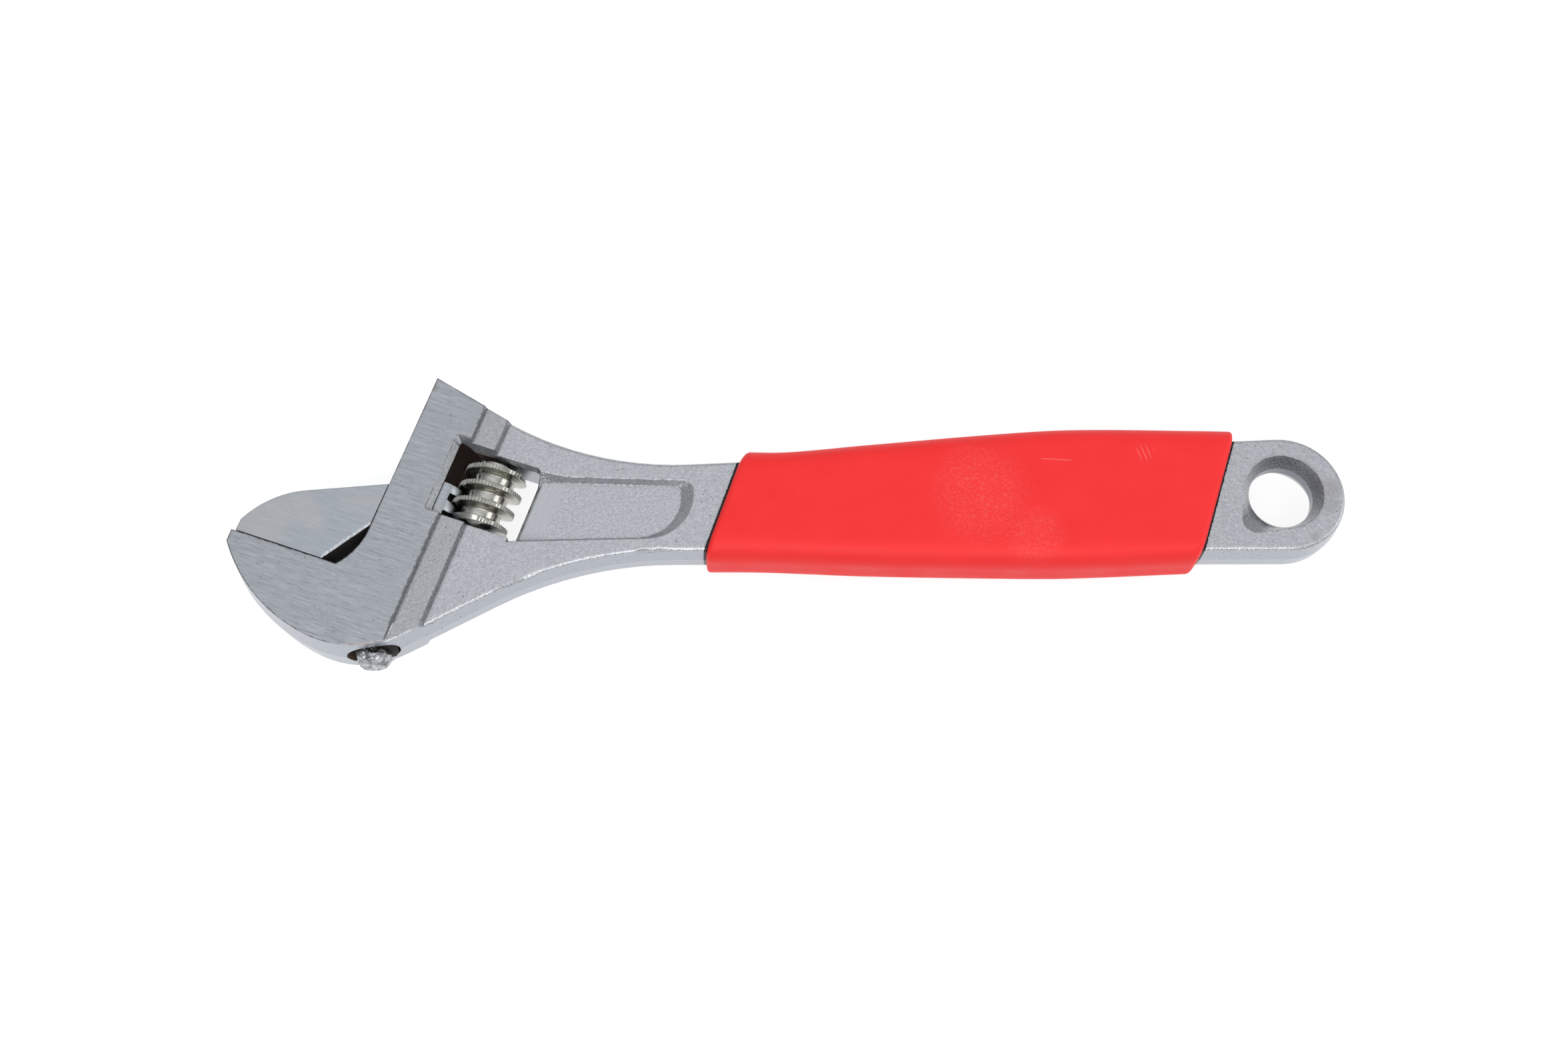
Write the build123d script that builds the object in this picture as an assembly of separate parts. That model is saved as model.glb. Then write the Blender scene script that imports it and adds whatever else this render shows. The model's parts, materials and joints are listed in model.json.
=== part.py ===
from build123d import *
import os
from math import acos, atan, atan2, ceil, cos, degrees, floor, pi, radians, sin, sqrt, tan

# Adjustable wrench with a sleeved handle, 250 mm long, with jaws that open to 30 mm.
# Millimetres and degrees. The origin is the middle of the hanging hole, at mid-thickness. The handle
# runs along X with the head at -X, and Z is square to the flat faces.
# The head is turned by HEAD_ANGLE and has two directions of its own: "back", from the jaws to the
# handle, and "open", the way the movable jaw travels. Both are measured from the head's own point,
# where the rack's axis crosses the plane of the fixed jaw's flat.

# Forged body: where the head sits, and the steps on each face from the head down to the neck
HEAD_REACH = 198.2
HEAD_DROP = 17.7
HEAD_ANGLE = 20.4
HEAD_THICKNESS = 14.4
BAND_STEP = 1.1
NECK_STEP = 1.2
BAND_BACK = 2.6
BAND_WIDTH = 5.9
STEP_SLOPE = 20.0
FORGING_DRAFT = 5.0
EDGE_RADIUS = 0.9

# Forged body: the fixed jaw, and the outline from the chin round the handle to the crown
SLIDE_SETBACK = 10.25
JAW_DEPTH = 29.3
TIP_HEIGHT = 3.0
TIP_LEAN = 0.4
THROAT_RUN = 3.6
THROAT_RISE = 9.5
CHIN_RADIUS = 22.0
CHIN_RISE = 4.1
CHIN_SLOPE = 27.0
CHEEK_SLOPE = 27.0
CROWN_SLOPE = 33.5
CROWN_WALL = 6.8
NECK_LOW_RUN = 60.6
NECK_LOW_HALF = 11.2
NECK_HIGH_RUN = 64.2
NECK_HIGH_HALF = 10.5
EYE_RADIUS = 14.0
EYE_DROP = 0.5

# Hanging hole: a short straight land, flared to both faces and drawn out towards the lower corner
HOLE_RADIUS = 7.25
HOLE_LAND = 2.4
HOLE_FLARE = 1.55
HOLE_CORNER_X = -7.3
HOLE_CORNER_Y = -6.6
HOLE_CORNER_RADIUS = 3.2

# Recessed panel in each face of the neck, with a ramp down into the window
PANEL_DEPTH = 1.6
PANEL_LONG_WALL = 0.75
PANEL_END_WALL = 2.9
PANEL_LOW_RIM = 3.4
PANEL_HIGH_RIM = 4.6
PANEL_HIGH_SLOPE = 3.2
PANEL_RUN = 65.2
PANEL_CORNER_RADIUS = 2.4
PANEL_SWEEP_RADIUS = 10.5
PANEL_FLARE = 1.6
RAMP_LENGTH = 6.0
RAMP_DEPTH = 0.8
RAMP_LIP = 0.9

# Window for the worm, with a bevel on its front and upper edges
WINDOW_FRONT = 1.0
WINDOW_LOW = 18.5
WINDOW_LENGTH = 17.2
WINDOW_BEVEL = 1.6
WINDOW_BEVEL_DEPTH = 3.8
WINDOW_BACK_ROOM = 3.05
WINDOW_CORNER_RADIUS = 1.2
WINDOW_FRONT_RADIUS = 0.4

# Movable jaw, with its web in the slot and its rack in the bore
JAW_TRAVEL = 30.0
JAW_INSET = 0.2
CLOSED_GAP = 0.25
SLIDE_GAP = 0.2
NOSE_SETBACK = 1.8
BLADE_THROAT_RUN = 6.9
BLADE_ROOT_RISE = 10.6
BLADE_NOSE_RISE = 2.6
BLADE_SHOULDER_DEPTH = 16.5
BLADE_SHOULDER_RISE = 13.6
BLADE_BACK_RISE = 20.9
SLOT_WIDTH = 5.6
SLOT_CLEARANCE = 0.2
SLOT_FLOOR = 2.6
SLOT_FLOOR_GAP = 1.4
WEB_LENGTH = 20.0
RACK_RADIUS = 4.75
RACK_CLEARANCE = 0.25
RACK_TOP = 26.5
RACK_SPARE = 1.5
STUB_LENGTH = 5.0
STUB_RADIUS = 3.1
STUB_CHAMFER = 1.4

# Worm with its thread
WORM_RADIUS = 7.1
WORM_END_GAP = 0.3
WORM_CHAMFER = 1.4
THREAD_PITCH = 4.25
THREAD_CREST = 1.1
THREAD_FLANK_ANGLE = 10.0
THREAD_START = 2.3
THREAD_STEPS = 32
THREAD_ENGAGEMENT = 2.2
ROOT_CLEARANCE = 0.35
TOOTH_CLEARANCE = 0.25

# Pin that the worm turns on
PIN_RADIUS = 2.0
PIN_RUNNING_CLEARANCE = 0.08
PIN_SEAT_CLEARANCE = 0.05
PIN_SEAT_DEPTH = 4.0
PIN_SHOULDER = 0.6
PIN_SHOULDER_WALL = 2.9
PIN_SINK = 0.6
PIN_SLOT_WIDTH = 1.0
PIN_SLOT_DEPTH = 1.2

# Spring on the pin, in a pocket in the worm's open end
SPRING_WIRE = 0.7
SPRING_SIDE_GAP = 0.4
SPRING_END_GAP = 0.1
SPRING_TURNS = 3
SPRING_SIDES = 8
SPRING_POCKET_DEPTH = 5.0
SPRING_REACH = 0.7

# Grip sleeve
GRIP_START = 72.0
GRIP_END = 15.2
GRIP_SLANT = 20.4
GRIP_FIT = 0.1
GRIP_FACE_WALL = 2.5
GRIP_FRONT_WALL = 2.3
GRIP_WAIST_RUN = 14.0
GRIP_WAIST_WALL = 2.0
GRIP_WAIST_RADIUS = 90.0
GRIP_BELLY_REACH = 55.0
GRIP_BELLY_WALL = 4.3
GRIP_BELLY_RADIUS = 420.0
GRIP_BACK_WALL = 2.1
GRIP_EDGE_RADIUS = 5.0
GRIP_END_CHAMFER = 0.9

# Sizes that follow from those above
FAR = HEAD_REACH
HEAD_FACE = HEAD_THICKNESS / 2
BAND_FACE = HEAD_FACE - BAND_STEP
NECK_FACE = BAND_FACE - NECK_STEP
RACK_BORE_RADIUS = RACK_RADIUS + RACK_CLEARANCE
RACK_FOOT = WINDOW_LOW - JAW_TRAVEL - RACK_SPARE
WORM_AXIS_BACK = RACK_RADIUS + WORM_RADIUS - THREAD_ENGAGEMENT
WORM_ROOT_RADIUS = WORM_RADIUS - THREAD_ENGAGEMENT - ROOT_CLEARANCE
WORM_LOW = WINDOW_LOW + WORM_END_GAP
WORM_LENGTH = WINDOW_LENGTH - WORM_END_GAP - SPRING_REACH
WINDOW_HIGH = WINDOW_LOW + WINDOW_LENGTH
WINDOW_BACK = WORM_AXIS_BACK + WORM_RADIUS + WINDOW_BACK_ROOM
CROWN_FALL = tan(radians(CROWN_SLOPE - HEAD_ANGLE))
SLIDE_HEIGHT = WINDOW_HIGH + CROWN_WALL + (WINDOW_BACK + SLIDE_SETBACK) * CROWN_FALL
PIN_HEAD_RADIUS = PIN_RADIUS + PIN_SHOULDER
PIN_HEAD_LOW = WINDOW_HIGH + PIN_SHOULDER_WALL
PIN_TOP = SLIDE_HEIGHT - (WORM_AXIS_BACK + PIN_HEAD_RADIUS + SLIDE_SETBACK) * CROWN_FALL - PIN_SINK
PIN_LOW = WINDOW_LOW - PIN_SEAT_DEPTH
SPRING_POCKET_RADIUS = PIN_RADIUS + SPRING_WIRE + 2 * SPRING_SIDE_GAP

HEAD = Location((-HEAD_REACH, -HEAD_DROP, 0), (0, 0, -HEAD_ANGLE))


def heading(angle):
    return Vector(cos(radians(angle)), sin(radians(angle)))


BACK = heading(-HEAD_ANGLE)
OPEN = heading(90 - HEAD_ANGLE)


def head_point(back, opened):
    return (HEAD * Pos(back, opened)).position


def crossing(point, direction, other_point, other_direction):
    """Where two lines in the plan cross."""
    apart = other_point - point
    across = direction.X * other_direction.Y - direction.Y * other_direction.X
    return point + direction * ((apart.X * other_direction.Y - apart.Y * other_direction.X) / across)


def eye_tangent(point, side):
    """Where a line from point touches the round of the eye."""
    apart = point - EYE_CENTRE
    angle = degrees(atan2(apart.Y, apart.X) + side * acos(EYE_RADIUS / apart.length))
    return EYE_CENTRE + heading(angle) * EYE_RADIUS


EYE_CENTRE = Vector(0, -EYE_DROP)
NECK_LOW = Vector(NECK_LOW_RUN - HEAD_REACH, -NECK_LOW_HALF)
NECK_HIGH = Vector(NECK_HIGH_RUN - HEAD_REACH, NECK_HIGH_HALF)
EYE_LOW = eye_tangent(NECK_LOW, 1)
EYE_HIGH = eye_tangent(NECK_HIGH, -1)


def forging_outline():
    """The plan of the forging at its parting line, with stock left on in the mouth."""
    stock = HEAD_THICKNESS / 2
    crown = head_point(-SLIDE_SETBACK, SLIDE_HEIGHT)
    crown_heading = heading(-CROWN_SLOPE)
    crown_start = crown - crown_heading * stock
    high_heading = (NECK_HIGH - EYE_HIGH).normalized()
    high_corner = crossing(crown, crown_heading, NECK_HIGH, high_heading)
    crown_end = high_corner - crown_heading * (NECK_HIGH - high_corner).length

    tip_high = head_point(-SLIDE_SETBACK - JAW_DEPTH, stock)
    tip_low = head_point(-SLIDE_SETBACK - JAW_DEPTH + TIP_LEAN, -TIP_HEIGHT)
    chin_centre = head_point(-SLIDE_SETBACK, CHIN_RISE)
    chin_start = chin_centre + heading(-90 - CHIN_SLOPE) * CHIN_RADIUS
    chin_low = chin_centre + heading(-90) * CHIN_RADIUS
    chin_end = chin_centre + heading(-90 + CHEEK_SLOPE) * CHIN_RADIUS

    cheek_heading = heading(CHEEK_SLOPE)
    low_corner = crossing(chin_end, cheek_heading, NECK_LOW, EYE_LOW - NECK_LOW)
    cheek_end = low_corner - cheek_heading * (NECK_LOW - low_corner).length

    return make_face([
        Line(crown_start, tip_high),
        Line(tip_high, tip_low),
        TangentArc(chin_start, tip_low, tangent=-heading(-CHIN_SLOPE)),
        ThreePointArc(chin_start, chin_low, chin_end),
        Line(chin_end, cheek_end),
        TangentArc(cheek_end, NECK_LOW, tangent=cheek_heading),
        Line(NECK_LOW, EYE_LOW),
        ThreePointArc(EYE_LOW, EYE_CENTRE + heading(0) * EYE_RADIUS, EYE_HIGH),
        Line(EYE_HIGH, NECK_HIGH),
        TangentArc(NECK_HIGH, crown_end, tangent=high_heading),
        Line(crown_end, crown_start),
    ])


def head_prism(outline, thickness):
    """A plate at mid-thickness, with its plan given in the head's (back, open) directions."""
    return HEAD * extrude(make_face(outline), thickness / 2, both=True)


def head_bar(section, low, high):
    """A bar along the opening direction, with its section given as (back, z) points."""
    outline = Polyline([(back, -z) for back, z in section], close=True)
    return HEAD * Pos(0, low) * Rot(X=-90) * extrude(make_face(outline), high - low)


def head_rod(radius, back, low, high):
    """A round rod along the opening direction."""
    return HEAD * Pos(back, low) * Rot(X=-90) * extrude(Circle(radius), high - low)


def head_box(front, back, low, high, thickness):
    return HEAD * Pos((front + back) / 2, (low + high) / 2) * Box(back - front, high - low, thickness)


def stepped_half():
    """The upper half of the forging: drafted walls, cut down in two steps from the head to the neck."""
    lean = tan(radians(STEP_SLOPE))
    web_back = BAND_BACK + BAND_WIDTH
    half = extrude(forging_outline(), HEAD_FACE, taper=FORGING_DRAFT)
    half -= head_bar([
        (BAND_BACK, HEAD_FACE),
        (BAND_BACK + BAND_STEP * lean, BAND_FACE),
        (web_back, BAND_FACE),
        (web_back + NECK_STEP * lean, NECK_FACE),
        (HEAD_REACH + FAR, NECK_FACE),
        (HEAD_REACH + FAR, FAR),
        (BAND_BACK, FAR),
    ], -FAR, HEAD_REACH + FAR)
    neck_face = half.faces().filter_by(Axis.Z).sort_by(Axis.Z)[1]
    outer_edges = neck_face.edges().sort_by(Axis(head_point(0, 0), BACK))[1:]
    return fillet(outer_edges, EDGE_RADIUS)


def panel_pocket():
    """The recess in the neck: steep long walls, a gentle end, and a floor that ramps into the window."""
    panel_floor = NECK_FACE - PANEL_DEPTH
    ramp_end = panel_floor - RAMP_DEPTH
    pocket_depth = PANEL_DEPTH + RAMP_DEPTH + RAMP_LIP
    front = WINDOW_BACK - WINDOW_CORNER_RADIUS
    ramp_top = head_point(WINDOW_BACK + RAMP_LENGTH, 0)

    def outline(depth):
        wall = PANEL_LONG_WALL * depth / PANEL_DEPTH
        end_x = PANEL_RUN - HEAD_REACH - PANEL_END_WALL * depth / PANEL_DEPTH
        end_high = Vector(end_x, NECK_HIGH_HALF - PANEL_HIGH_RIM - wall)
        end_low = Vector(end_x, PANEL_LOW_RIM - NECK_LOW_HALF + wall)
        knee = crossing(ramp_top, OPEN, end_high, heading(180 - PANEL_HIGH_SLOPE))
        high = head_point(front, WINDOW_HIGH - PANEL_FLARE * depth / PANEL_DEPTH)
        low = crossing(head_point(front, 0), OPEN, end_low, heading(180))
        radii = [PANEL_CORNER_RADIUS - wall, PANEL_SWEEP_RADIUS - wall]
        rim = FilletPolyline([knee, end_high, end_low, low], radius=radii)
        return Pos(0, 0, NECK_FACE - depth) * Wire([Line(high, knee), *rim.edges(), Line(low, high)])

    recess = Solid.make_loft([outline(pocket_depth), outline(0)], ruled=True)
    return recess & head_bar([
        (front, FAR),
        (front, ramp_end - RAMP_LIP),
        (WINDOW_BACK, ramp_end - RAMP_LIP),
        (WINDOW_BACK + RAMP_LIP, ramp_end),
        (WINDOW_BACK + RAMP_LENGTH, panel_floor),
        (HEAD_REACH + FAR, panel_floor),
        (HEAD_REACH + FAR, FAR),
    ], -FAR, HEAD_REACH + FAR)


def eye_flare():
    """The flared upper part of the hanging hole: from a round land to a rim with a drawn-out corner."""
    middle = Vector(0, 0, 0)
    corner = Vector(HOLE_CORNER_X, HOLE_CORNER_Y)
    rim_radius = HOLE_RADIUS + HOLE_FLARE
    towards = atan2(corner.Y, corner.X)
    spread = acos((rim_radius - HOLE_CORNER_RADIUS) / corner.length)

    def arc(centre, radius, start, end, z):
        turns = (start, (start + end) / 2, end)
        return ThreePointArc([centre + Vector(radius * cos(t), radius * sin(t), z) for t in turns])

    land_z = HOLE_LAND / 2
    first = towards + spread
    last = towards - spread + 2 * pi
    third = 2 * spread / 3
    land = [arc(middle, HOLE_RADIUS, first, last, land_z)]
    for part in range(3):
        land.append(arc(middle, HOLE_RADIUS, last + part * third, last + (part + 1) * third, land_z))
    round_rim = arc(middle, rim_radius, first, last, NECK_FACE)
    corner_rim = arc(corner, HOLE_CORNER_RADIUS, last, last + 2 * spread, NECK_FACE)
    rim = [
        round_rim,
        Line(round_rim @ 1, corner_rim @ 0),
        corner_rim,
        Line(corner_rim @ 1, round_rim @ 0),
    ]
    return Solid.make_loft([Wire(land), Wire(rim)], ruled=True)


def window_outline(bevel):
    """The window's plan, made larger by a bevel at its front and upper edges."""
    front = WINDOW_FRONT - bevel
    high = WINDOW_HIGH + bevel
    outline = make_face(Polyline([
        (front, WINDOW_LOW),
        (WINDOW_BACK, WINDOW_LOW),
        (WINDOW_BACK, high),
        (front, high),
    ], close=True))
    outline = fillet(outline.vertices().group_by(Axis.X)[0], WINDOW_FRONT_RADIUS)
    return fillet(outline.vertices().group_by(Axis.X)[-1], WINDOW_CORNER_RADIUS)


def forged_body():
    half = stepped_half()
    half -= panel_pocket()
    half -= eye_flare()
    half -= HEAD * Solid.make_loft([
        Pos(0, 0, HEAD_FACE - WINDOW_BEVEL_DEPTH) * window_outline(0).wire(),
        Pos(0, 0, HEAD_FACE) * window_outline(WINDOW_BEVEL).wire(),
    ], ruled=True)
    body = half + mirror(half, Plane.XY)
    body -= extrude(Circle(HOLE_RADIUS), HOLE_LAND, both=True)
    body -= HEAD * extrude(window_outline(0), HEAD_THICKNESS, both=True)

    throat = TangentArc(
        (-SLIDE_SETBACK, THROAT_RISE), (-SLIDE_SETBACK - THROAT_RUN, 0), tangent=(0, -1)
    )
    mouth = [
        throat,
        Polyline([throat @ 1, (-FAR, 0), (-FAR, FAR), (-SLIDE_SETBACK, FAR), throat @ 0]),
    ]
    body -= head_prism(mouth, 2 * HEAD_THICKNESS)
    body -= head_rod(RACK_BORE_RADIUS, 0, -FAR, FAR)
    body -= head_box(-SLIDE_SETBACK - JAW_DEPTH, 0, SLOT_FLOOR, FAR, SLOT_WIDTH)
    body -= head_rod(PIN_RADIUS + PIN_SEAT_CLEARANCE, WORM_AXIS_BACK, PIN_LOW, FAR)
    body -= head_rod(PIN_HEAD_RADIUS + PIN_SEAT_CLEARANCE, WORM_AXIS_BACK, PIN_HEAD_LOW, FAR)
    return body


def rack_groove(opened):
    """One slanted groove of the rack, cut to let a turn of the worm's thread through."""
    groove_floor = WORM_AXIS_BACK - WORM_RADIUS - TOOTH_CLEARANCE
    groove_top = groove_floor + WORM_RADIUS
    narrow = THREAD_CREST / 2 + TOOTH_CLEARANCE
    wide = narrow + WORM_RADIUS * tan(radians(THREAD_FLANK_ANGLE))
    section = Polyline([
        (groove_floor, -narrow),
        (groove_top, -wide),
        (groove_top, wide),
        (groove_floor, narrow),
    ], close=True)
    pitch_radius = (WORM_RADIUS + WORM_ROOT_RADIUS) / 2
    lead_angle = degrees(atan(THREAD_PITCH / (2 * pi * pitch_radius)))
    groove = extrude(make_face(section), 2 * RACK_RADIUS, both=True)
    return HEAD * Pos(0, opened) * Rot(X=-lead_angle) * groove


def movable_jaw():
    heel = -SLIDE_SETBACK - SLIDE_GAP
    nose = NOSE_SETBACK - SLIDE_SETBACK - JAW_DEPTH
    flat = CLOSED_GAP
    heel_low = (heel, flat + BLADE_ROOT_RISE)
    heel_high = (heel, flat + BLADE_BACK_RISE)
    shoulder = (heel - BLADE_SHOULDER_DEPTH, flat + BLADE_SHOULDER_RISE)
    back_line = Line(heel_high, shoulder)
    brow = TangentArc(shoulder, (nose, flat + BLADE_NOSE_RISE), tangent=back_line % 1)
    blade = [
        Polyline([brow @ 1, (nose, flat), (heel - BLADE_THROAT_RUN, flat), heel_low, heel_high]),
        back_line,
        brow,
    ]
    jaw = head_prism(blade, HEAD_THICKNESS - 2 * JAW_INSET)

    web_low = SLOT_FLOOR + SLOT_FLOOR_GAP
    web_high = web_low + WEB_LENGTH
    web_knee = -RACK_RADIUS / 2
    web = Polyline([
        heel_low,
        (web_knee, web_low),
        (0, web_low),
        (0, web_high),
        (web_knee, web_high),
        heel_high,
    ], close=True)
    jaw += head_prism(web, SLOT_WIDTH - 2 * SLOT_CLEARANCE)

    jaw += head_rod(RACK_RADIUS, 0, RACK_FOOT, RACK_TOP)
    stub = head_rod(STUB_RADIUS, 0, RACK_FOOT - STUB_LENGTH, RACK_FOOT)
    stub_end = stub.edges().sort_by(Axis(head_point(0, 0), OPEN))[0]
    jaw += chamfer(stub_end, STUB_CHAMFER)

    first = WORM_LOW + THREAD_START + THREAD_PITCH / 2
    below = floor((first - RACK_FOOT) / THREAD_PITCH)
    above = ceil((RACK_TOP - first) / THREAD_PITCH)
    for turn in range(-below, above + 1):
        jaw -= rack_groove(first + turn * THREAD_PITCH)
    return jaw


def worm_place(opened):
    """The worm's own place: its axis along the opening direction, its X to the back."""
    return HEAD * Pos(WORM_AXIS_BACK, opened) * Rot(X=-90)


def worm_thread():
    """A right-hand thread: tooth sections set round a helix, joined by flat facets."""
    inner = (WORM_ROOT_RADIUS + SPRING_POCKET_RADIUS) / 2
    crest_half = THREAD_CREST / 2
    inner_half = crest_half + (WORM_RADIUS - inner) * tan(radians(THREAD_FLANK_ANGLE))
    tooth = [
        (inner, -inner_half),
        (WORM_RADIUS, -crest_half),
        (WORM_RADIUS, crest_half),
        (inner, inner_half),
    ]
    rise = THREAD_PITCH / THREAD_STEPS
    first = floor(-(THREAD_START + inner_half) / rise)
    last = ceil((WORM_LENGTH - THREAD_START + inner_half) / rise)

    def corner(step, number):
        radius, beside = tooth[number % 4]
        height = THREAD_START + step * rise + beside
        return heading(360 * step / THREAD_STEPS) * radius + Vector(0, 0, height)

    facets = [[corner(end, number) for number in range(4)] for end in (first, last)]
    for step in range(first, last):
        for number in range(4):
            near, near_next = corner(step, number), corner(step, number + 1)
            far, far_next = corner(step + 1, number), corner(step + 1, number + 1)
            facets += [[near, far, near_next], [far, far_next, near_next]]
    return Solid(Shell([Face(Wire.make_polygon(facet)) for facet in facets]))


def adjusting_worm():
    """A threaded core with its corners taken off, bored for the pin and pocketed for the spring."""
    blank = extrude(Circle(WORM_RADIUS + TOOTH_CLEARANCE), WORM_LENGTH)
    core = extrude(Circle(WORM_ROOT_RADIUS), WORM_LENGTH)
    core -= extrude(Circle(PIN_RADIUS + PIN_RUNNING_CLEARANCE), WORM_LENGTH)
    core -= Pos(0, 0, WORM_LENGTH) * extrude(Circle(SPRING_POCKET_RADIUS), -SPRING_POCKET_DEPTH)
    worm = core + (worm_thread() & chamfer(blank.edges(), WORM_CHAMFER))
    return worm_place(WORM_LOW) * worm


def worm_pin():
    """A headed pin put in from the crown, with a driver slot in its head."""
    pin = head_rod(PIN_RADIUS, WORM_AXIS_BACK, PIN_LOW, PIN_HEAD_LOW)
    pin += head_rod(PIN_HEAD_RADIUS, WORM_AXIS_BACK, PIN_HEAD_LOW, PIN_TOP)
    slot_front = WORM_AXIS_BACK - PIN_SLOT_WIDTH / 2
    slot_low = PIN_TOP - PIN_SLOT_DEPTH
    return pin - head_box(slot_front, slot_front + PIN_SLOT_WIDTH, slot_low, FAR, HEAD_THICKNESS)


def worm_spring():
    """A coil of wire on the pin, from the floor of the worm's pocket to the window's wall."""
    low = WORM_LOW + WORM_LENGTH - SPRING_POCKET_DEPTH + SPRING_END_GAP + SPRING_WIRE / 2
    high = WINDOW_HIGH - SPRING_END_GAP - SPRING_WIRE / 2
    radius = PIN_RADIUS + SPRING_SIDE_GAP + SPRING_WIRE / 2
    pitch = (high - low) / SPRING_TURNS

    def at(turn):
        return Vector(radius * cos(2 * pi * turn), radius * sin(2 * pi * turn), pitch * turn)

    def along(turn):
        around = 2 * pi * radius
        return Vector(-around * sin(2 * pi * turn), around * cos(2 * pi * turn), pitch).normalized()

    path = []
    for quarter in range(4 * SPRING_TURNS):
        start, end = at(quarter / 4), at((quarter + 1) / 4)
        start_way, end_way = along(quarter / 4), along((quarter + 1) / 4)
        chord = end - start
        pull = chord.dot(start_way + end_way)
        bend = 2 * (1 - start_way.dot(end_way))
        reach = (sqrt(pull ** 2 + bend * chord.dot(chord)) - pull) / bend
        start_control = start + start_way * reach
        end_control = end - end_way * reach
        knee = (start_control + end_control) / 2
        path.append(TangentArc(start, knee, tangent=start_way))
        path.append(TangentArc(knee, end, tangent=end_control - start_control))
    section = Plane(at(0), x_dir=(1, 0, 0), z_dir=along(0)) * RegularPolygon(SPRING_WIRE / 2, SPRING_SIDES)
    spring = sweep(section, Wire(path))

    points = [arc @ share for arc in path for share in (0, 0.5)]
    half_turn = len(points) // (2 * SPRING_TURNS)
    gaps = []
    for number, point in enumerate(points):
        gaps += [(other - point).length - SPRING_WIRE for other in points[number + half_turn:]]
    print(f"worm_spring: least gap between turns {min(gaps):.2f} mm")
    return worm_place(low) * spring


def sleeve_edge(edge_start, edge_end, side):
    """One long edge of the sleeve's plan, a wall's thickness outside the handle's straight edge."""

    def beside(x, slant, wall):
        outside = edge_start + Vector(0, side * wall)
        return crossing(Vector(x, 0), heading(90 - slant), outside, edge_end - edge_start)

    front_x = GRIP_START - HEAD_REACH
    corners = [
        beside(front_x, GRIP_SLANT, GRIP_FRONT_WALL),
        beside(front_x + GRIP_WAIST_RUN, 0, GRIP_WAIST_WALL),
        beside(-GRIP_BELLY_REACH, 0, GRIP_BELLY_WALL),
        beside(-GRIP_END, GRIP_SLANT, GRIP_BACK_WALL),
    ]
    return FilletPolyline(corners, radius=[GRIP_WAIST_RADIUS, GRIP_BELLY_RADIUS])


def grip_sleeve():
    """A soft sleeve pushed over the handle, with slanted ends and a fuller belly for the palm."""
    high = sleeve_edge(NECK_HIGH, EYE_HIGH, 1)
    low = sleeve_edge(NECK_LOW, EYE_LOW, -1)
    plan = make_face([high, Line(high @ 1, low @ 1), low, Line(low @ 0, high @ 0)])
    thickness = 2 * (NECK_FACE + GRIP_FIT + GRIP_FACE_WALL)
    end_axis = Axis((0, 0, 0), heading(-GRIP_SLANT))
    sleeve = extrude(plan, thickness / 2, both=True)
    end_edges = sleeve.faces().filter_by(end_axis).edges()
    long_edges = [edge for edge in sleeve.faces().filter_by(Axis.Z).edges() if edge not in end_edges]
    sleeve = fillet(long_edges, GRIP_EDGE_RADIUS)
    sleeve = chamfer(sleeve.faces().filter_by(end_axis).edges(), GRIP_END_CHAMFER)

    handle_room = offset(forging_outline(), GRIP_FIT)
    return sleeve - extrude(handle_room, NECK_FACE + GRIP_FIT, both=True)


os.makedirs("parts", exist_ok=True)
for make_piece in (forged_body, movable_jaw, adjusting_worm, worm_pin, worm_spring, grip_sleeve):
    export_step(make_piece(), f"parts/{make_piece.__name__}.step")
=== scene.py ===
import json
from math import atan2, cos, floor, pi, radians, sin, tan

import bmesh
import bpy
from mathutils import Matrix, Vector, noise


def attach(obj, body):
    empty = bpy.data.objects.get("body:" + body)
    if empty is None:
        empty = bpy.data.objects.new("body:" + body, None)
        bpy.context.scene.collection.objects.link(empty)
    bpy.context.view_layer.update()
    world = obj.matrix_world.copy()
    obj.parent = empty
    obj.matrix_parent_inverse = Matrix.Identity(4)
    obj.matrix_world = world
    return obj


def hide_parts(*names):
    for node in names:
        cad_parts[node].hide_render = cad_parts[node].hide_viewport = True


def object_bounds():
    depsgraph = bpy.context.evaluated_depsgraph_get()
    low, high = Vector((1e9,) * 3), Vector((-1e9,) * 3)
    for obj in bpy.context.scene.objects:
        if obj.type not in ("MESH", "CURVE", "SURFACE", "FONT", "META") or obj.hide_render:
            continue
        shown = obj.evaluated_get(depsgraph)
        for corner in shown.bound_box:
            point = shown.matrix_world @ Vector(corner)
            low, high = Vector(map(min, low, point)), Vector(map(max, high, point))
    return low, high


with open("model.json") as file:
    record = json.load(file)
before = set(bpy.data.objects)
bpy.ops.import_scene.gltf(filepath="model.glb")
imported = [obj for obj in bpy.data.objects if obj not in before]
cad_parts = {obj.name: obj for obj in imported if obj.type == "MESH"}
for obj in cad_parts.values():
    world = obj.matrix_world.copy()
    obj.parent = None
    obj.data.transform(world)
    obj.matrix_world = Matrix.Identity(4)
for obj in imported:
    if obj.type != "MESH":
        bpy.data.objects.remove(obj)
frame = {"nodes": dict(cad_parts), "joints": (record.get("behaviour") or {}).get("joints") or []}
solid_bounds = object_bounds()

# Forged body: one drop-forged piece of chrome-vanadium steel with the fixed jaw, the head, the neck and the
# handle's tang. It is shot blasted and dull plated all over, then the head's faces, the slide and the jaw's
# flat are ground bare, with the grinding marks along the head's back direction.
# Places on the head are in millimetres along its back and open directions and up, from the head's own point.
MM = 0.001
HEAD_PLACE = Vector((-198.2, -17.7, 0)) * MM
HEAD_FACE = 7.2
SLIDE_BACK = -10.25
SLIDE_LOW_END = 10.0
FLAT_BACK_END = -14.0
BORE_RADIUS = 5.0
SLOT_HALF = 2.8
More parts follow.
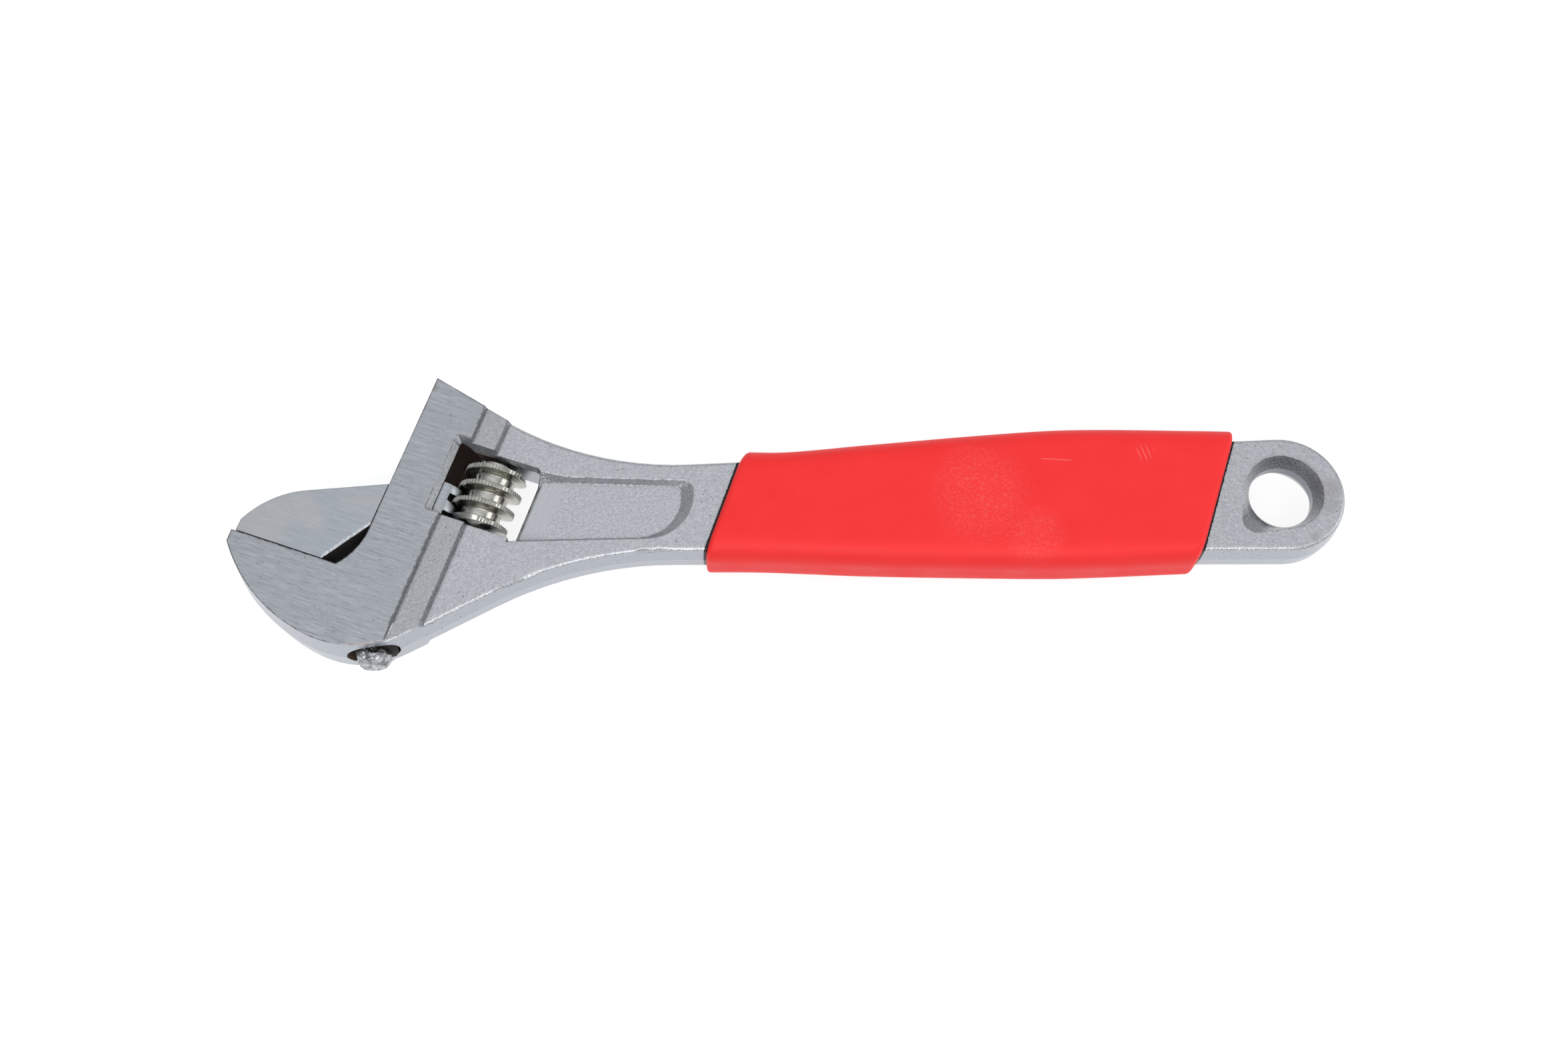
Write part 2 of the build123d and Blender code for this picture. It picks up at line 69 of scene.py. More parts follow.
SLOT_LOW_END = 2.5
THROAT_RUN = 4.0
THROAT_RISE = 9.4
WINDOW_CEILING = 35.65
CEILING_SHADE_END = 9.0
STEP_LINES = [(2.55, 3.15), (8.45, 9.05)]
BAND_BACK = (2.9, 8.4)
BAND_UP = 6.0
LIP_BACK = (-0.7, 1.4)
LIP_OPENED = (18.4, 37.4)
LIP_UP = (3.3, 7.1)
RAMP_BACK = (20.6, 25.6)
RAMP_UP = (2.2, 3.28)
CHEEK_EDGE_OPENED = -9.0
CHEEK_EDGE_UP = 5.4
COPPER_SPOT = (-1.2, -14.4, 7.1)
HEAD_STAINS = [((-39.4, -1.6, 7.0), 1.6), ((-10.2, 46.5, 7.0), 1.6)]
EYE_STAINS = [((10.4, 0.4, 4.9), 3.4), ((9.6, -3.4, 4.9), 3.0), ((5.4, -11.2, 4.9), 1.6)]
HOLE_WALL = 7.8
HOLE_FLARE = 1.8
GRIP_FRONT = -126.2
GRIP_BACK = -15.2
joints = {joint["name"]: joint for joint in frame["joints"]}
OPEN_WAY = Vector(joints["jaw_slide"]["axis"])
BACK_WAY = Vector((OPEN_WAY.y, -OPEN_WAY.x, 0))
HEAD_TURN = atan2(BACK_WAY.y, BACK_WAY.x)


def linear(code):
    """A colour written as #rrggbb, as a scene-linear RGBA."""
    channels = [int(code[place:place + 2], 16) / 255 for place in (1, 3, 5)]
    return (*[c / 12.92 if c <= 0.04045 else ((c + 0.055) / 1.055) ** 2.4 for c in channels], 1)


def add(tree, kind, inputs=(), **settings):
    """Adds a node with its settings, and sets its inputs or links them to sockets or to other nodes."""
    node = tree.nodes.new(kind)
    for name, value in settings.items():
        setattr(node, name, value)
    for name, value in inputs.items() if isinstance(inputs, dict) else enumerate(inputs):
        if isinstance(value, bpy.types.Node):
            value = next(socket for socket in value.outputs if socket.enabled)
        if isinstance(value, bpy.types.NodeSocket):
            tree.links.new(value, node.inputs[name])
        else:
            node.inputs[name].default_value = value
    return node


def new_material(name):
    """A material with an empty node tree, and that tree."""
    material = bpy.data.materials.new(name)
    material.use_nodes = True
    material.node_tree.nodes.clear()
    return material, material.node_tree


def surface(tree, **looks):
    """Ends a material in a principled shader, with its looks given by their names."""
    looks = {name.replace("_", " "): value for name, value in looks.items()}
    add(tree, "ShaderNodeOutputMaterial", (add(tree, "ShaderNodeBsdfPrincipled", looks),))


def body_millimetres(tree):
    """Millimetres along the handle, across it and up, from the middle of the hanging hole."""
    place = add(tree, "ShaderNodeTexCoord").outputs["Object"]
    return add(tree, "ShaderNodeVectorMath", (place, (MM, MM, MM)), operation="DIVIDE")


def head_millimetres(tree):
    """Millimetres along the head's back and open directions and up, from the head's own point."""
    place = add(tree, "ShaderNodeTexCoord").outputs["Object"]
    return add(tree, "ShaderNodeMapping", {
        "Vector": place, "Location": HEAD_PLACE, "Rotation": (0, 0, HEAD_TURN), "Scale": (MM, MM, MM),
    }, vector_type="TEXTURE")


def mottle(tree, place, sizes, detail=2.0, roughness=0.55):
    """Cloudy mottling, from 0 to 1, with blotches of these sizes in millimetres."""
    spread = add(tree, "ShaderNodeVectorMath", (place, sizes), operation="DIVIDE")
    return add(tree, "ShaderNodeTexNoise", {
        "Vector": spread, "Scale": 1.0, "Detail": detail, "Roughness": roughness,
    })


def where_all(tree, *limits):
    """The overlap of shares, and of values held between two limits with a soft end, of which None is open."""
    shares = []
    for limit in limits:
        if not isinstance(limit, tuple):
            shares.append(limit)
            continue
        value, low, high, soft = limit
        ends = [] if low is None else [(value, low - soft, low, 0.0, 1.0)]
        ends += [] if high is None else [(value, high, high + soft, 1.0, 0.0)]
        shares += [add(tree, "ShaderNodeMapRange", end, interpolation_type="SMOOTHSTEP") for end in ends]
    whole = shares[0]
    for share in shares[1:]:
        whole = add(tree, "ShaderNodeMath", (whole, share), operation="MULTIPLY")
    return whole


def where_any(tree, *shares):
    """The larger of several shares at each point."""
    whole = shares[0]
    for share in shares[1:]:
        whole = add(tree, "ShaderNodeMath", (whole, share), operation="MAXIMUM")
    return whole


def near(tree, place, spot, reach):
    """1 at a spot, and 0 from a reach away from it."""
    apart = add(tree, "ShaderNodeVectorMath", (place, spot), operation="DISTANCE")
    return where_all(tree, (apart, None, reach * 0.35, reach * 0.65))


def from_rack_axis(tree, place):
    """How far a point lies from the axis of the rack and its bore."""
    across = add(tree, "ShaderNodeVectorMath", (place, (1, 0, 1)), operation="MULTIPLY")
    return add(tree, "ShaderNodeVectorMath", (across,), operation="LENGTH")


def coats(tree, colour, *layers):
    """Coats laid over a colour one by one, each by where it shows, how strongly, and its colour."""
    for share, strength, coat in layers:
        share = add(tree, "ShaderNodeMath", (share, strength), operation="MULTIPLY")
        under, over = [linear(tone) if isinstance(tone, str) else tone for tone in (colour, coat)]
        colour = add(tree, "ShaderNodeMix", {0: share, 6: under, 7: over}, data_type="RGBA")
    return colour


def ground_marks(tree, place):
    """Fine grinding lines, from 0 to 1, and sparse short nicks, both along the back direction."""
    # Grit leaves lines under 0.1 mm wide. They are drawn wider here, so that they show.
    fine = mottle(tree, place, (5.0, 0.15, 0), 3.0, 0.65)
    broad = mottle(tree, place, (20.0, 0.6, 0))
    lines = add(tree, "ShaderNodeMix", {0: 0.25, 2: fine, 3: broad})
    nick = mottle(tree, place, (2.2, 0.16, 0))
    return lines, where_all(tree, (nick, 0.7, None, 0.09))


def cast_grain(tree, place):
    """The pebbled skin that shot blasting and plating leave on a forging."""
    # Shot leaves pits of about 0.1 mm. They are drawn larger here, so that they show.
    coarse = mottle(tree, place, (0.65, 0.65, 0.65), 0.0)
    fine = mottle(tree, place, (0.27, 0.27, 0.27), 1.0, 0.5)
    return add(tree, "ShaderNodeMix", {0: 0.65, 2: coarse, 3: fine})


def rust_specks(tree, place):
    """Sparse pinpricks of rust, gathered in patches."""
    prick = mottle(tree, place, (0.6, 0.6, 0.6))
    patch = mottle(tree, place, (9.0, 9.0, 9.0), 1.0)
    return where_all(tree, (prick, 0.725, None, 0.058), (patch, 0.6, None, 0.18))


def edges(tree, radius):
    """A normal rounded over sharp edges, and a share that is 1 on those edges."""
    rounded = add(tree, "ShaderNodeBevel", {"Radius": radius * MM}, samples=6)
    plain = add(tree, "ShaderNodeNewGeometry").outputs["Normal"]
    alike = add(tree, "ShaderNodeVectorMath", (rounded, plain), operation="DOT_PRODUCT")
    return rounded, where_all(tree, (alike, None, 0.93, 0.065))


def corner_shade(tree, reach):
    """1 deep in corners and slots, 0 on open surfaces: where painted shade goes."""
    open_share = add(tree, "ShaderNodeAmbientOcclusion", {"Distance": reach * MM}, samples=8).outputs["AO"]
    return where_all(tree, (open_share, None, 0.35, 0.55))


def forged_steel():
    # Chrome-vanadium steel, drop forged, shot blasted and dull plated, then ground. To the eye it is a light
    # grey skin that sparkles in fine pebbles, with long lines on the ground faces, brown wear along their
    # edges, and dark oil in the bore. Painted shade darkens the corners, the step lines, the hanging hole's
    # wall and the bore, slot, throat and window's ceiling. Painted highlights lighten the window's lip, the
    # ramp and the cheek's lower edge, which are made less metallic so that their colour shows. A painted
    # shadow with a painted red reflection lies on the steel beside each end of the grip.
    material, tree = new_material("plated forged steel with ground faces")
    place = head_millimetres(tree)
    body_place = body_millimetres(tree)
    back, opened, up = add(tree, "ShaderNodeSeparateXYZ", (place,)).outputs
    height = add(tree, "ShaderNodeMath", (up,), operation="ABSOLUTE")
    lines, nicks = ground_marks(tree, place)
    grain = cast_grain(tree, place)
    rust = rust_specks(tree, place)
    patches = mottle(tree, place, (5.0, 5.0, 5.0))
    chips = mottle(tree, place, (1.1, 1.1, 1.1), 3.0)
    rounded, edge = edges(tree, 0.4)
    broad_edge = edges(tree, 0.65)[1]
    facing = add(tree, "ShaderNodeNewGeometry").outputs["Normal"]
    upward = add(tree, "ShaderNodeSeparateXYZ", (facing,)).outputs["Z"]
    upward = add(tree, "ShaderNodeMath", (upward,), operation="ABSOLUTE")
    backward = add(tree, "ShaderNodeVectorMath", (facing, BACK_WAY), operation="DOT_PRODUCT")
    sideways = add(tree, "ShaderNodeVectorMath", (facing, OPEN_WAY), operation="DOT_PRODUCT")
    sideways = add(tree, "ShaderNodeMath", (sideways,), operation="ABSOLUTE")
    wall = where_all(tree, (upward, None, 0.15, 0.35))
    off_the_sides = where_all(tree, (sideways, None, 0.3, 0.2))
    below_face = where_all(tree, (height, None, HEAD_FACE - 0.1, 0.06))

    face = where_all(tree, (height, HEAD_FACE - 0.03, None, 0.09))
    slide = where_all(
        tree, (back, SLIDE_BACK - 0.06, SLIDE_BACK + 0.06, 0.04), (opened, SLIDE_LOW_END, None, 2.0),
    )
    flat = where_all(tree, (opened, -0.06, 0.06, 0.04), (back, None, FLAT_BACK_END, 1.0))
    ground = where_any(tree, face, slide, flat)

    bore = where_all(tree, (from_rack_axis(tree, place), None, BORE_RADIUS + 0.06, 0.06))
    slot = where_all(
        tree, (back, SLIDE_BACK + 0.4, 0.0, 0.1), (opened, SLOT_LOW_END, None, 1.0),
        (height, None, SLOT_HALF + 0.03, 0.07),
    )
    throat = where_all(
        tree, (back, SLIDE_BACK - THROAT_RUN, SLIDE_BACK - 0.1, 0.1), (opened, 0.1, THROAT_RISE, 0.1),
        (height, None, HEAD_FACE - 1.0, 0.9),
    )
    # Painted shade under the window's ceiling.
    ceiling = where_all(
        tree, (back, 1.0, CEILING_SHADE_END, 3.0), (opened, WINDOW_CEILING - 0.15, WINDOW_CEILING + 0.15, 0.05),
    )
    # Dark brown inside: oil, with painted shade, in the bore, the slot, the throat and under the ceiling.
    inside = where_any(tree, bore, slot, throat, ceiling)

    # Painted shade along the two step lines, broken up by the grain.
    step_shade_grain = add(tree, "ShaderNodeMapRange", (grain, 0.35, 0.65, 0.55, 1.1), interpolation_type="SMOOTHSTEP")
    steps = where_any(tree, *[where_all(tree, (back, start, end, 0.25)) for start, end in STEP_LINES])
    steps = where_all(tree, steps, below_face, (height, 4.8, None, 0.3), off_the_sides, step_shade_grain)
    # Painted highlight: the window's front lip, where it faces back, is painted lighter and kept out of the
    # shade.
    lip = where_all(
        tree, (back, *LIP_BACK, 0.05), (opened, *LIP_OPENED, 0.1), (height, *LIP_UP, 0.1),
        (backward, 0.7, None, 0.3),
    )
    # Painted highlight: the ramp beside the window is painted lighter.
    ramp = where_all(tree, (back, *RAMP_BACK, 0.4), (height, *RAMP_UP, 0.05), off_the_sides)
    band = where_all(tree, (back, *BAND_BACK, 0.3), (height, BAND_UP, None, 0.1))
    # Painted shade on the hanging hole's wall.
    from_hole = add(tree, "ShaderNodeVectorMath", (body_place, (1, 1, 0)), operation="MULTIPLY")
    from_hole = add(tree, "ShaderNodeVectorMath", (from_hole,), operation="LENGTH")
    hole = where_all(tree, (from_hole, None, HOLE_WALL, HOLE_FLARE))
    # Painted shadow with a painted red reflection on the steel, in a line beside each end of the grip.
    station = add(tree, "ShaderNodeVectorMath", (body_place, (1, tan(HEAD_TURN), 0)), operation="DOT_PRODUCT")
    station = add(tree, "ShaderNodeMath", (grain, 0.5, station), operation="MULTIPLY_ADD")
    grip_end_shadow = where_any(
        tree, where_all(tree, (station, GRIP_FRONT - 0.4, GRIP_FRONT + 3.0, 0.2)),
        where_all(tree, (station, GRIP_BACK - 3.0, GRIP_BACK + 0.75, 0.2)),
    )
    # Painted shade, darkening the corners, the step lines and the hole's wall, but not the lip.
    off_lip = add(tree, "ShaderNodeMath", (1.0, lip), operation="SUBTRACT")
    shade = where_any(tree, corner_shade(tree, 1.6), where_all(tree, steps, 0.85), where_all(tree, hole, 0.8))
    shade = where_all(tree, shade, off_lip)

    worn = where_any(
        tree, where_all(tree, broad_edge, (patches, 0.47, None, 0.1), ground, (chips, 0.52, None, 0.1)),
        where_all(tree, edge, (chips, 0.6, None, 0.14), 0.7),
    )
    # Painted highlight: a sparkling near-white line along the cheek's lower edge between the step lines.
    sparkle = add(tree, "ShaderNodeMapRange", (grain, 0.4, 0.52, 0.25, 1.0), interpolation_type="SMOOTHSTEP")
    glint = where_all(
        tree, broad_edge, (back, BAND_BACK[0], BAND_BACK[1] - 0.2, 0.3), (opened, None, CHEEK_EDGE_OPENED, 1.0),
        sparkle, below_face, (height, CHEEK_EDGE_UP, None, 0.4),
    )
    copper = where_all(tree, near(tree, place, COPPER_SPOT, 4.5), (grain, 0.5, None, 0.1), edge)
    eye_stains = where_any(tree, *[near(tree, body_place, spot, reach) for spot, reach in EYE_STAINS])
    stains = where_any(
        tree, where_all(tree, eye_stains, 0.7),
        *[near(tree, place, spot, reach) for spot, reach in HEAD_STAINS],
    )
    stains = where_all(tree, stains, (grain, 0.56, None, 0.14))

    # The lip's painted highlight, speckled lighter with the grain.
    lip_colour = coats(tree, "#bdc0c4", (where_all(tree, (grain, 0.58, None, 0.16)), 1.0, "#dfe1e4"))
    cast_colour = coats(
        tree, "#afb1b5", (where_all(tree, (grain, 0.65, None, 0.3)), 1.0, "#c3c5c8"), (wall, 0.7, "#a3a9b3"),
        (lip, 1.0, lip_colour), (ramp, 1.0, "#bfc2c6"), (band, 0.32, "#8f8f91"),
    )
    ground_colour = coats(
        tree, "#969a9f", (where_all(tree, (lines, 0.7, None, 0.4)), 1.0, "#babdc1"), (nicks, 0.6, "#505155"),
    )
    colour = coats(
        tree, cast_colour, (ground, 1.0, ground_colour), (shade, 0.75, "#585b60"), (worn, 0.85, "#4f3e37"),
        (glint, 1.0, "#f0f2f4"), (rust, 0.8, "#5d463b"), (copper, 0.8, "#c58a76"), (stains, 0.55, "#7f6a58"),
        (inside, 1.0, "#3a2a22"), (grip_end_shadow, 0.95, "#1c0708"),
    )

    smooth = where_any(tree, ground, where_all(tree, wall, 0.8))
    pebbled = add(tree, "ShaderNodeMath", (1.0, smooth), operation="SUBTRACT")
    skin = add(tree, "ShaderNodeBump", {
        "Height": where_all(tree, grain, pebbled), "Distance": 0.14 * MM, "Strength": 1.0, "Normal": rounded,
    })
    skin = add(tree, "ShaderNodeBump", {
        "Height": where_all(tree, lines, ground), "Distance": 0.012 * MM, "Strength": 1.0, "Normal": skin,
    })
    # Less metallic under the painted highlights and the oil, so that their colour shows.
    painted_light_and_oil = where_any(tree, glint, lip, ramp, inside)
    roughness = add(tree, "ShaderNodeMix", {0: ground, 2: 0.27, 3: 0.36})
    surface(
        tree, Base_Color=colour, Metallic=add(tree, "ShaderNodeMix", {0: painted_light_and_oil, 2: 0.9, 3: 0.3}),
        Roughness=add(tree, "ShaderNodeMix", {0: inside, 2: roughness, 3: 0.6}), Normal=skin,
    )
    return material


def dress(node, material):
    """Gives a CAD node its finish."""
    solid = frame["nodes"][node]
    solid.data.materials.clear()
    solid.data.materials.append(material)


dress("forged_body", forged_steel())

# Movable jaw: one forged piece with the blade, the web that runs in the head's slot and the round rack that the
# worm drives. Its faces and flat are ground bare, and the rack is milled.
THROAT_BEVEL_WAY = (0.838, -0.546, 0)
THROAT_BEVEL_OFF = 14.68
JAW_THROAT_BACK = (-17.4, -10.3)
JAW_THROAT_OPENED = (0.0, 11.2)
JAW_FACE = 6.9
RACK_FOOT_OPENED = -11.0
STUB_RADIUS = 3.12


def ground_steel():
    # Tool steel, forged and ground. To the eye it is a cool grey with faint lines along the grinding, a slow
    # change of sheen, and oil on the throat and the rack's foot. Painted shade darkens its corners and, with the
    # oil, the throat's hollow and the rack's foot; a painted highlight runs along the throat's bevel.
    material, tree = new_material("ground tool steel")
    place = head_millimetres(tree)
    back, opened, up = add(tree, "ShaderNodeSeparateXYZ", (place,)).outputs
    height = add(tree, "ShaderNodeMath", (up,), operation="ABSOLUTE")
    lines, nicks = ground_marks(tree, place)
    rounded, edge = edges(tree, 0.25)
    patches = mottle(tree, place, (5.0, 5.0, 5.0))
    sheen = mottle(tree, place, (16.0, 12.0, 16.0), 1.0)
    off_bevel = add(tree, "ShaderNodeVectorMath", (place, THROAT_BEVEL_WAY), operation="DOT_PRODUCT")
    off_bevel = add(tree, "ShaderNodeMath", (off_bevel, THROAT_BEVEL_OFF), operation="ADD")
    throat = where_all(tree, (back, *JAW_THROAT_BACK, 0.2), (opened, *JAW_THROAT_OPENED, 0.2))
    hollow = where_all(tree, throat, (height, None, JAW_FACE - 0.3, 0.3))
    # Painted highlight along the throat's bevel, speckled by the grain.
    bevel_highlight = where_all(tree, throat, (off_bevel, -0.5, 0.3, 0.25), (cast_grain(tree, place), 0.55, None, 0.15))
    rack_foot = where_all(
        tree, (opened, None, RACK_FOOT_OPENED, 2.0),
        (from_rack_axis(tree, place), STUB_RADIUS + 0.18, None, 0.18),
    )
    # Near black and matt over the throat's hollow and the rack's foot: painted shade, with oil.
    shade_and_oil = where_any(tree, hollow, rack_foot)
    # Painted shade: the corners are painted near black.
    colour = coats(
        tree, "#a2a7ac", (where_all(tree, (lines, 0.7, None, 0.4)), 1.0, "#b7bbc0"),
        (where_all(tree, (sheen, 0.6, None, 0.15)), 0.4, "#bdbbb9"), (nicks, 0.25, "#686b70"),
        (where_all(tree, edge, (patches, 0.62, None, 0.12)), 0.6, "#5a4a42"),
        (corner_shade(tree, 2.0), 0.9, "#26262a"), (bevel_highlight, 0.7, "#eef0f2"), (shade_and_oil, 1.0, "#1a1310"),
    )
    skin = add(tree, "ShaderNodeBump", {
        "Height": lines, "Distance": 0.008 * MM, "Strength": 1.0, "Normal": rounded,
    })
    surface(
        tree, Base_Color=colour, Metallic=add(tree, "ShaderNodeMix", {0: shade_and_oil, 2: 1.0, 3: 0.0}),
        Roughness=add(tree, "ShaderNodeMix", {0: shade_and_oil, 2: 0.34, 3: 0.8}), Normal=skin,
    )
    return material


dress("movable_jaw", ground_steel())

# Adjusting worm: turned and threaded free-cutting steel, nickel plated, with an axial knurl rolled into the
# crest of its thread for the thumb. It turns on the pin between the window's two walls.
WORM_LENGTH = 16.2
WORM_RADIUS = 7.1
WORM_CORE = 4.55
WORM_CORE_CHAMFER = 0.4
WORM_BORE = 2.08
WORM_POCKET = 3.5
WORM_POCKET_DEPTH = 5.0
WORM_CHAMFER = 1.4
WORM_LOW_OPENED = 18.8
THREAD_PITCH = 4.25
THREAD_START = 2.3
RIDGE_HALF = 0.58
RIDGE_ROOT_HALF = 1.45
RIDGE_SUNK = 0.3
KNURL_TEETH = 58
KNURL_HEIGHT = 0.16
KNURL_BAR_RADIUS = 0.26
RING_STEPS = 96


def head_spot(back, opened, up=0.0):
    return HEAD_PLACE + (BACK_WAY * back + OPEN_WAY * opened) * MM + Vector((0, 0, up * MM))


def new_piece(name, points, faces, material):
    """A smooth mesh object at the origin from points in metres, with its normals turned outwards."""
    mesh = bpy.data.meshes.new(name)
    mesh.from_pydata([tuple(point) for point in points], [], faces)
    shape = bmesh.new()
    shape.from_mesh(mesh)
    bmesh.ops.remove_doubles(shape, verts=shape.verts, dist=0.0005 * MM)
    bmesh.ops.recalc_face_normals(shape, faces=shape.faces)
    shape.to_mesh(mesh)
    shape.free()
    mesh.shade_smooth()
    mesh.set_sharp_from_angle(angle=radians(38))
    mesh.materials.append(material)
    piece = bpy.data.objects.new(name, mesh)
    bpy.context.scene.collection.objects.link(piece)
    return piece


def grid_faces(rows, columns, closed_rows, closed_columns, first=0):
    """Quads over a grid of points kept row by row."""
    faces = []
    for row in range(rows if closed_rows else rows - 1):
        for column in range(columns if closed_columns else columns - 1):
            next_row = (row + 1) % rows
            next_column = (column + 1) % columns
            faces.append((
                first + row * columns + column,
                first + row * columns + next_column,
                first + next_row * columns + next_column,
                first + next_row * columns + column,
            ))
    return faces


def worm_spot(turn, radius, height):
    """A point of the worm: an angle about its axis from the back direction, a radius and a height."""
    middle = Vector(joints["worm_spin"]["pos_m"])
    along = OPEN_WAY.dot(head_spot(0, WORM_LOW_OPENED + height) - middle)
    return middle + OPEN_WAY * along + (BACK_WAY * cos(turn) - Vector((0, 0, sin(turn)))) * radius * MM


def ridge_radius(ridge, offset):
    """How far a ridge's section reaches at an offset from its middle."""
    for (radius, start), (next_radius, end) in zip(ridge, ridge[1:]):
        if start <= offset <= end:
            return radius + (next_radius - radius) * (offset - start) / (end - start)
    return WORM_CORE - RIDGE_SUNK


def worm_mesh():
    pocket_floor = WORM_LENGTH - WORM_POCKET_DEPTH
    core = [
        (WORM_BORE, 0), (WORM_CORE - WORM_CORE_CHAMFER, 0), (WORM_CORE, WORM_CORE_CHAMFER),
        (WORM_CORE, WORM_LENGTH - WORM_CORE_CHAMFER), (WORM_CORE - WORM_CORE_CHAMFER, WORM_LENGTH),
        (WORM_POCKET, WORM_LENGTH), (WORM_POCKET, pocket_floor), (WORM_BORE, pocket_floor),
    ]
    points = []
    for step in range(RING_STEPS):
        turn = 2 * pi * step / RING_STEPS
        points += [worm_spot(turn, radius, height) for radius, height in core]
    faces = grid_faces(RING_STEPS, len(core), True, True)

    crest = WORM_RADIUS - KNURL_HEIGHT
    ridge = [
        (WORM_CORE - RIDGE_SUNK, -RIDGE_ROOT_HALF), (WORM_CORE + 0.02, -1.3), (WORM_CORE + 0.25, -1.02),
        (crest - 0.35, -RIDGE_HALF - 0.06), (crest - 0.1, -RIDGE_HALF + 0.02), (crest, -RIDGE_HALF + 0.12),
    ]
    ridge += [(radius, -height) for radius, height in reversed(ridge)]
    first_step = floor(-(THREAD_START + 1.5) / THREAD_PITCH * RING_STEPS)
    last_step = floor((WORM_LENGTH - THREAD_START + 1.5) / THREAD_PITCH * RING_STEPS)
    start = len(points)
    for step in range(first_step, last_step + 1):
        turn = 2 * pi * step / RING_STEPS
        middle = THREAD_START + THREAD_PITCH * step / RING_STEPS
        for radius, offset in ridge:
            height = min(max(middle + offset, 0.0), WORM_LENGTH)
            if height != middle + offset:
                radius = min(radius, ridge_radius(ridge, height - middle))
            reach = WORM_RADIUS - max(0.0, WORM_CHAMFER - height, WORM_CHAMFER - WORM_LENGTH + height)
            points.append(worm_spot(turn, min(radius, reach), height))
    faces += grid_faces(last_step - first_step + 1, len(ridge), False, True, start)
    return points, faces


def nickel_plate():
    # Free-cutting steel, turned and nickel plated. To the eye it is a warm bright metal with soft smears from
    # handling and a few dull pits.
    material, tree = new_material("nickel-plated turned steel")
    place = head_millimetres(tree)
    smear = mottle(tree, place, (2.4, 0.9, 2.4), 3.0)
    pits = mottle(tree, place, (0.3, 0.3, 0.3), 1.0)
    colour = coats(
        tree, "#a4a39c", (where_all(tree, (smear, 0.7, None, 0.4)), 1.0, "#c3c2ba"),
        (where_all(tree, (pits, 0.8, None, 0.1)), 1.0, "#6f6c60"),
    )
    skin = add(tree, "ShaderNodeBump", {
        "Height": smear, "Distance": 0.02 * MM, "Strength": 1.0,
        "Normal": add(tree, "ShaderNodeBevel", {"Radius": 0.12 * MM}, samples=4),
    })
    rough = add(tree, "ShaderNodeMapRange", (smear, 0.3, 0.7, 0.16, 0.28), interpolation_type="SMOOTHSTEP")
    surface(tree, Base_Color=colour, Metallic=1.0, Roughness=rough, Normal=skin)
    return material


def knurl_tree(material):
    """Geometry nodes: short bars set round a helix, one for each tooth of the knurl."""
    tree = bpy.data.node_groups.new("thread knurl", "GeometryNodeTree")
    sizes = {}
    for name, kind in (
        ("Teeth", "NodeSocketInt"), ("Step Turn", "NodeSocketFloat"), ("First Turn", "NodeSocketFloat"),
        ("Radius", "NodeSocketFloat"), ("Rise", "NodeSocketFloat"), ("Bar Radius", "NodeSocketFloat"),
        ("Bar Length", "NodeSocketFloat"),
    ):
        sizes[name] = tree.interface.new_socket(name=name, in_out="INPUT", socket_type=kind).identifier
    tree.interface.new_socket(name="Knurl", in_out="OUTPUT", socket_type="NodeSocketGeometry")
    given = add(tree, "NodeGroupInput").outputs
    line = add(tree, "GeometryNodeMeshLine", {"Count": given["Teeth"]})
    index = add(tree, "GeometryNodeInputIndex")
    turn = add(
        tree, "ShaderNodeMath", (index, given["Step Turn"], given["First Turn"]), operation="MULTIPLY_ADD",
    )
    cosine = add(tree, "ShaderNodeMath", (turn,), operation="COSINE")
    sine = add(tree, "ShaderNodeMath", (turn,), operation="SINE")
    spot = add(tree, "ShaderNodeCombineXYZ", (
        add(tree, "ShaderNodeMath", (cosine, given["Radius"]), operation="MULTIPLY"),
        add(tree, "ShaderNodeMath", (sine, given["Radius"]), operation="MULTIPLY"),
        add(tree, "ShaderNodeMath", (turn, given["Rise"]), operation="MULTIPLY"),
    ))
    helix = add(tree, "GeometryNodeSetPosition", {"Geometry": line, "Position": spot})
    bar = add(tree, "GeometryNodeMeshCylinder", {
        "Vertices": 8, "Radius": given["Bar Radius"], "Depth": given["Bar Length"],
    })
    bars = add(tree, "GeometryNodeInstanceOnPoints", {"Points": helix, "Instance": bar})
    plain = add(tree, "GeometryNodeRealizeInstances", {"Geometry": bars})
    finished = add(tree, "GeometryNodeSetMaterial", {"Geometry": plain, "Material": material})
    add(tree, "NodeGroupOutput", (finished,))
    return tree, sizes


